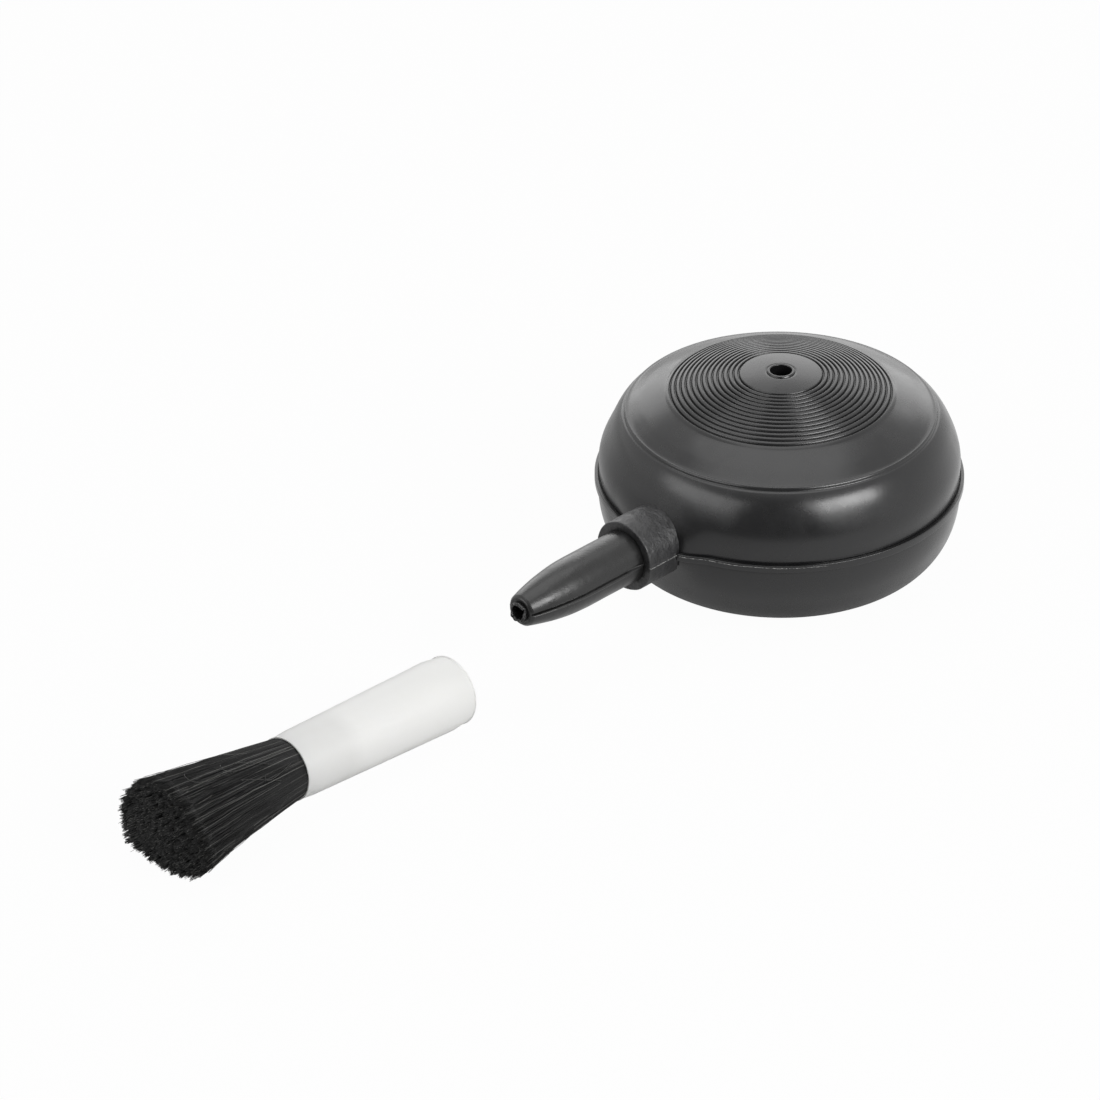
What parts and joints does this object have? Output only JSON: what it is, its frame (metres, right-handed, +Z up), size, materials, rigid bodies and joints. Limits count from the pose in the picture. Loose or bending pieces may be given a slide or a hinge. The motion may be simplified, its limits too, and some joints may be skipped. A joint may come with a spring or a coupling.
{
  "type": "lens blower brush",
  "caption": "Flat round squeeze bulb with a ribbed top and a soft bullet nozzle, and a push-on bristle brush with a white ferrule lying in front.",
  "frame": {"origin": "centre of the flat that the bulb rests on", "axes": "+Z up along the bulb's axis, the nozzle points along -X, +Y to its right seen from behind the nozzle"},
  "size_m": [0.1459, 0.0522, 0.0309],
  "materials": {
    "bulb_pvc": "satin moulded soft PVC",
    "neck_pvc": "matt moulded soft PVC",
    "ferrule_plastic": "smooth, slightly translucent white polyethylene",
    "epoxy": "cured clear epoxy",
    "thread": "twisted polyester thread",
    "tube_metal": "drawn",
    "bristle_hair": "dyed black hair"
  },
  "bodies": {
    "blower": {"lower_shell": "bulb_pvc", "upper_shell": "bulb_pvc", "neck_collar": "neck_pvc", "nozzle": "neck_pvc"},
    "press_pad": {"press_pad": "bulb_pvc"},
    "brush": {"ferrule": "ferrule_plastic", "bristle_glue": "epoxy", "binding_thread": "thread", "air_tube": "tube_metal", "bristles": "bristle_hair"}
  },
  "joints": [
    {"name": "squeeze", "type": "slide", "parent": "blower", "child": "press_pad", "axis": [0, 0, -1], "range_m": [0, 0.005], "stiffness_N_per_m": 800},
    {"name": "brush_to_nozzle", "type": "slide", "parent": "blower", "child": "brush", "axis": [0.8098, -0.1594, 0.5647], "range_m": [0, 0.01568]}
  ]
}
